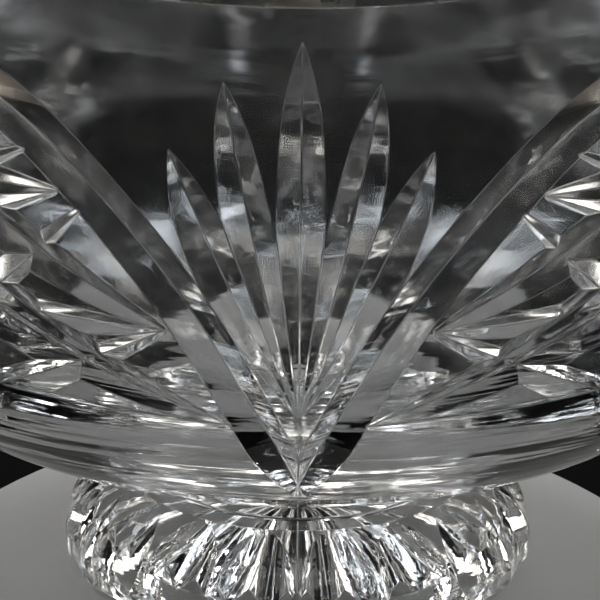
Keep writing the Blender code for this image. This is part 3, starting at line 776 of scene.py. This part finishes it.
def wire_tree():
    """A layer of parallel wires along X, spaced along Y, each bent to lie on one dome."""
    tree = bpy.data.node_groups.new("domed_wires", "GeometryNodeTree")
    nodes, links = tree.nodes, tree.links
    tree.interface.new_socket("Wires", in_out="INPUT", socket_type="NodeSocketInt")
    for words in ("Pitch", "Reach", "Dome radius", "Dome centre", "Wire radius", "Quarter turn"):
        tree.interface.new_socket(words, in_out="INPUT", socket_type="NodeSocketFloat")
    tree.interface.new_socket("Plate", in_out="INPUT", socket_type="NodeSocketMaterial")
    tree.interface.new_socket("Layer", in_out="OUTPUT", socket_type="NodeSocketGeometry")
    given, made = nodes.new("NodeGroupInput"), nodes.new("NodeGroupOutput")
    value = given.outputs
    number = nodes.new("GeometryNodeInputIndex").outputs["Index"]
    middle = sums(tree, "DIVIDE", sums(tree, "SUBTRACT", value["Wires"], 1.0), 2.0)
    offset = sums(tree, "MULTIPLY", sums(tree, "SUBTRACT", number, middle), value["Pitch"])
    start = nodes.new("ShaderNodeCombineXYZ")
    links.new(offset, start.inputs["Y"])
    starts = nodes.new("GeometryNodePoints")
    links.new(value["Wires"], starts.inputs["Count"])
    links.new(start.outputs["Vector"], starts.inputs["Position"])
    straight = nodes.new("GeometryNodeCurvePrimitiveLine")
    straight.inputs["Start"].default_value = (-1.0, 0.0, 0.0)
    straight.inputs["End"].default_value = (1.0, 0.0, 0.0)
    fine = nodes.new("GeometryNodeResampleCurve")
    fine.inputs["Count"].default_value = WIRE_STATIONS
    links.new(straight.outputs["Curve"], fine.inputs["Curve"])
    lay = nodes.new("GeometryNodeInstanceOnPoints")
    links.new(starts.outputs["Points"], lay.inputs["Points"])
    links.new(fine.outputs["Curve"], lay.inputs["Instance"])
    laid = nodes.new("GeometryNodeRealizeInstances")
    links.new(lay.outputs["Instances"], laid.inputs["Geometry"])
    at = nodes.new("ShaderNodeSeparateXYZ")
    links.new(nodes.new("GeometryNodeInputPosition").outputs["Position"], at.inputs["Vector"])
    aside = sums(tree, "ADD", sums(tree, "ABSOLUTE", at.outputs["Y"]), value["Wire radius"])
    squares = sums(tree, "SUBTRACT", square(tree, value["Reach"]), square(tree, aside))
    along = sums(tree, "MULTIPLY", at.outputs["X"], sums(tree, "SQRT", squares))
    level = sums(tree, "ADD", square(tree, along), square(tree, at.outputs["Y"]))
    rise = sums(tree, "SQRT", sums(tree, "SUBTRACT", square(tree, value["Dome radius"]), level))
    bent = nodes.new("ShaderNodeCombineXYZ")
    links.new(along, bent.inputs["X"])
    links.new(at.outputs["Y"], bent.inputs["Y"])
    links.new(sums(tree, "ADD", rise, value["Dome centre"]), bent.inputs["Z"])
    bend = nodes.new("GeometryNodeSetPosition")
    links.new(laid.outputs["Geometry"], bend.inputs["Geometry"])
    links.new(bent.outputs["Vector"], bend.inputs["Position"])
    round_wire = nodes.new("GeometryNodeCurvePrimitiveCircle")
    round_wire.inputs["Resolution"].default_value = WIRE_SIDES
    links.new(value["Wire radius"], round_wire.inputs["Radius"])
    draw = nodes.new("GeometryNodeCurveToMesh")
    draw.inputs["Fill Caps"].default_value = True
    links.new(bend.outputs["Geometry"], draw.inputs["Curve"])
    links.new(round_wire.outputs["Curve"], draw.inputs["Profile Curve"])
    turn = nodes.new("ShaderNodeCombineXYZ")
    links.new(sums(tree, "MULTIPLY", value["Quarter turn"], math.pi / 2), turn.inputs["Z"])
    place = nodes.new("GeometryNodeTransform")
    links.new(draw.outputs["Mesh"], place.inputs["Geometry"])
    links.new(turn.outputs["Vector"], place.inputs["Rotation"])
    whole = nodes.new("GeometryNodeRealizeInstances")
    links.new(place.outputs["Geometry"], whole.inputs["Geometry"])
    finish = nodes.new("GeometryNodeSetMaterial")
    links.new(whole.outputs["Geometry"], finish.inputs["Geometry"])
    links.new(value["Plate"], finish.inputs["Material"])
    links.new(finish.outputs["Geometry"], made.inputs["Layer"])
    return tree


drawn_wire = silver_plate(
    "drawn_silver_wire", (0.80, 0.78, 0.74, 1.0), (0.43, 0.39, 0.33, 1.0), (700.0, 700.0, 700.0))
domed_wires = wire_tree()
for letter, quarter_turn in (("x", 0.0), ("y", 1.0)):
    name = f"grille_wires_{letter}"
    layer = bpy.data.objects.new(name, bpy.data.meshes.new(name))
    bpy.context.scene.collection.objects.link(layer)
    bending = layer.modifiers.new("Bending", "NODES")
    bending.node_group = domed_wires
    set_inputs(
        bending, Wires=WIRE_COUNT, Pitch=WIRE_PITCH, Reach=WIRE_REACH, Wire_radius=WIRE_RADIUS,
        Dome_radius=DOME_RADIUS + quarter_turn * WIRE_LAYER_STEP, Dome_centre=DOME_CENTRE,
        Quarter_turn=quarter_turn, Plate=drawn_wire)
    plain_mesh(layer, PLATE_CREASE)
    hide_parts(*[f"grille_wire_{letter}{index + 1}" for index in range(WIRE_COUNT)])
    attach(layer, "grille")

# Solder: soft grey solder, wiped into small beads. It joins the two layers of wire where they cross
# and runs out in a low fillet where each wire's end meets the band.
CROSSING_BEAD = 0.00125
END_BEAD = 0.0017
END_BEAD_FLATNESS = 0.8
BEAD_UNEVENNESS = 0.0005
BEAD_LUMP_SCALE = 700.0


def bead_tree():
    """A slightly uneven bead on every point, as large along each axis as the point's own size."""
    tree = bpy.data.node_groups.new("solder_beads", "GeometryNodeTree")
    nodes, links = tree.nodes, tree.links
    tree.interface.new_socket("Joints", in_out="INPUT", socket_type="NodeSocketGeometry")
    tree.interface.new_socket("Unevenness", in_out="INPUT", socket_type="NodeSocketFloat")
    tree.interface.new_socket("Solder", in_out="INPUT", socket_type="NodeSocketMaterial")
    tree.interface.new_socket("Beads", in_out="OUTPUT", socket_type="NodeSocketGeometry")
    given, made = nodes.new("NodeGroupInput"), nodes.new("NodeGroupOutput")
    drop = nodes.new("GeometryNodeMeshIcoSphere")
    drop.inputs["Radius"].default_value = 1.0
    drop.inputs["Subdivisions"].default_value = 3
    size = nodes.new("GeometryNodeInputNamedAttribute")
    size.data_type = "FLOAT_VECTOR"
    size.inputs["Name"].default_value = "bead_size"
    put = nodes.new("GeometryNodeInstanceOnPoints")
    links.new(given.outputs["Joints"], put.inputs["Points"])
    links.new(drop.outputs["Mesh"], put.inputs["Instance"])
    links.new(size.outputs["Attribute"], put.inputs["Scale"])
    whole = nodes.new("GeometryNodeRealizeInstances")
    links.new(put.outputs["Instances"], whole.inputs["Geometry"])
    lumps = nodes.new("ShaderNodeTexNoise")
    lumps.inputs["Scale"].default_value = BEAD_LUMP_SCALE
    lumps.inputs["Detail"].default_value = 1.0
    lump = sums(tree, "SUBTRACT", lumps.outputs["Fac"], 0.5)
    swell = sums(tree, "MULTIPLY", lump, given.outputs["Unevenness"])
    outward = nodes.new("ShaderNodeVectorMath")
    outward.operation = "SCALE"
    links.new(nodes.new("GeometryNodeInputNormal").outputs["Normal"], outward.inputs[0])
    links.new(swell, outward.inputs["Scale"])
    wipe = nodes.new("GeometryNodeSetPosition")
    links.new(whole.outputs["Geometry"], wipe.inputs["Geometry"])
    links.new(outward.outputs["Vector"], wipe.inputs["Offset"])
    finish = nodes.new("GeometryNodeSetMaterial")
    links.new(wipe.outputs["Geometry"], finish.inputs["Geometry"])
    links.new(given.outputs["Solder"], finish.inputs["Material"])
    links.new(finish.outputs["Geometry"], made.inputs["Beads"])
    return tree


def dome_point(x, y, lift):
    """A point on the wires' dome, raised square to it."""
    radius = DOME_RADIUS + lift
    return (x, y, DOME_CENTRE + math.sqrt(radius ** 2 - x ** 2 - y ** 2))


end_bead_size = (END_BEAD, END_BEAD, END_BEAD_FLATNESS * END_BEAD)
wire_offsets = [(index - (WIRE_COUNT - 1) / 2) * WIRE_PITCH for index in range(WIRE_COUNT)]
joints = []
for x in wire_offsets:
    for y in wire_offsets:
        if math.hypot(x, y) < WIRE_REACH - 2 * WIRE_RADIUS:
            joints.append((dome_point(x, y, WIRE_LAYER_STEP / 2), (CROSSING_BEAD,) * 3))
for offset in wire_offsets:
    end = math.sqrt(WIRE_REACH ** 2 - (abs(offset) + WIRE_RADIUS) ** 2)
    for sign in (1, -1):
        joints.append((dome_point(sign * end, offset, 0.0), end_bead_size))
        joints.append((dome_point(offset, sign * end, WIRE_LAYER_STEP), end_bead_size))
joint_mesh = bpy.data.meshes.new("grille_solder")
joint_mesh.from_pydata([point for point, _ in joints], [], [])
bead_size = joint_mesh.attributes.new("bead_size", "FLOAT_VECTOR", "POINT")
bead_size.data.foreach_set("vector", np.array([size for _, size in joints]).ravel())
solder = bpy.data.objects.new("grille_solder", joint_mesh)
bpy.context.scene.collection.objects.link(solder)
wiping = solder.modifiers.new("Wiping", "NODES")
wiping.node_group = bead_tree()
soft_solder = silver_plate(
    "soft_solder", (0.62, 0.61, 0.60, 1.0), (0.34, 0.32, 0.30, 1.0), (900.0, 900.0, 900.0))
set_inputs(wiping, Unevenness=BEAD_UNEVENNESS, Solder=soft_solder)
plain_mesh(solder, PLATE_CREASE)
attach(solder, "grille")

# Floor: a plain pale oval table top, cut from board and painted matt. The bowl stands near its far
# edge, so that the table shows through the front of the glass and the dim room through the back.
# It lies a hair below the foot, so that the two flat faces don't share one plane.
FLOOR_HALF_WIDTH = 0.078
FLOOR_HALF_DEPTH = 0.096
FLOOR_MIDDLE = Vector((0.0, -0.035, -0.0002))
FLOOR_COLOUR = (0.55, 0.55, 0.54, 1.0)
FLOOR_ROUGHNESS = 0.9
FLOOR_SIDES = 96
floor_mesh = bpy.data.meshes.new("floor")
floor_edge = []
for azimuth in np.linspace(0.0, 360.0, FLOOR_SIDES, endpoint=False):
    outward = outward_at(azimuth)
    edge = Vector((outward.x * FLOOR_HALF_WIDTH, outward.y * FLOOR_HALF_DEPTH, 0.0))
    floor_edge.append(FLOOR_MIDDLE + edge)
floor_mesh.from_pydata(floor_edge, [], [range(len(floor_edge))])
floor = bpy.data.objects.new("floor", floor_mesh)
bpy.context.scene.collection.objects.link(floor)
pale_paint = bpy.data.materials.new("pale_paint")
pale_paint.use_nodes = True
paint = pale_paint.node_tree.nodes["Principled BSDF"]
paint.inputs["Base Color"].default_value = FLOOR_COLOUR
paint.inputs["Roughness"].default_value = FLOOR_ROUGHNESS
floor_mesh.materials.append(pale_paint)

# Light: a dim room with soft boxes of cool or warm white, all aimed at the bowl. One long box hangs high
# behind it, two stand at its back and two at its flanks, and a low pair lights the cuts from the
# sides. A faint pale screen stands behind the camera.
ROOM_LEVEL = 0.005
SCREEN_LEVEL = 0.03
SCREEN_FRONT = (0.0, -0.7)
SCREEN_HEIGHT = (-0.1, 0.3)
LAMP_AIM = Vector((0.0, 0.0, 0.05))
LAMP_DISTANCE = 0.9
DAYLIGHT = (0.90, 0.95, 1.0)
LAMPLIGHT = (1.0, 0.95, 0.88)
world = bpy.data.worlds.new("studio")
bpy.context.scene.world = world
world.use_nodes = True


def dim_room(tree):
    """A dim room all round, with a pale screen that fades out at its edges behind the camera."""
    background = tree.nodes["Background"]
    around = tree.nodes.new("ShaderNodeTexCoord")
    way = tree.nodes.new("ShaderNodeSeparateXYZ")
    tree.links.new(around.outputs["Generated"], way.inputs["Vector"])
    in_front = ranged(tree, way.outputs["Y"], SCREEN_FRONT, (0.0, 1.0), smooth=True)
    raised = ranged(tree, way.outputs["Z"], SCREEN_HEIGHT, (0.0, 1.0), smooth=True)
    screen = sums(tree, "MULTIPLY", sums(tree, "MULTIPLY", in_front, raised), SCREEN_LEVEL)
    tree.links.new(sums(tree, "ADD", screen, ROOM_LEVEL), background.inputs["Strength"])
    background.inputs["Color"].default_value = (1.0, 1.0, 1.0, 1.0)


dim_room(world.node_tree)


def soft_box(name, azimuth, elevation, size, brightness, colour):
    """A soft box aimed at the bowl; brightness is how white its face is, where 1 is a white card."""
    level = outward_at(azimuth) * math.cos(math.radians(elevation))
    away = level + UP * math.sin(math.radians(elevation))
    lamp = bpy.data.lights.new(name, "AREA")
    lamp.shape = "RECTANGLE"
    lamp.size, lamp.size_y = size
    lamp.energy = brightness * math.pi * size[0] * size[1]
    lamp.color = colour
    box = bpy.data.objects.new(name, lamp)
    box.location = LAMP_AIM + away * LAMP_DISTANCE
    box.rotation_mode = "QUATERNION"
    box.rotation_quaternion = (-away).to_track_quat("-Z", "Y")
    bpy.context.scene.collection.objects.link(box)


soft_box("rear_box", 180.0, 50.0, (0.6, 0.14), 11.0, DAYLIGHT)
for side in (1, -1):
    soft_box(f"back_box_{side}", side * 158.0, 30.0, (0.4, 0.2), 3.6, LAMPLIGHT)
    soft_box(f"flank_box_{side}", side * 117.0, 31.0, (0.42, 0.2), 6.0, DAYLIGHT)
    soft_box(f"low_box_{side}", side * 106.0, 5.5, (0.5, 0.14), 15.0, LAMPLIGHT)
bpy.context.scene.cycles.max_bounces = 24
bpy.context.scene.cycles.transmission_bounces = 24
bpy.context.scene.cycles.glossy_bounces = 12

# Camera: a long lens close to the bowl and a little above it, at the photograph's viewing angle.
# It is rolled by the photograph's own slight tilt.
PHOTO_ELEVATION = math.radians(20.0)
PHOTO_DISTANCE = 0.506
PHOTO_TARGET = Vector((0.0, 0.0, 0.0508))
PHOTO_ROLL = math.radians(0.59)
PHOTO_SENSOR = 36.0
PHOTO_LENS = 157.7
eye = bpy.data.cameras.new("photo_camera")
eye.sensor_width = PHOTO_SENSOR
eye.lens = PHOTO_LENS
camera = bpy.data.objects.new("photo_camera", eye)
back = Vector((0.0, -math.cos(PHOTO_ELEVATION), math.sin(PHOTO_ELEVATION)))
stand = Matrix.Translation(PHOTO_TARGET + back * PHOTO_DISTANCE)
facing = (-back).to_track_quat("-Z", "Y").to_matrix().to_4x4()
camera.matrix_world = stand @ facing @ Matrix.Rotation(PHOTO_ROLL, 4, "Z")
bpy.context.scene.collection.objects.link(camera)
bpy.context.scene.camera = camera
bpy.context.scene.view_settings.view_transform = "Standard"
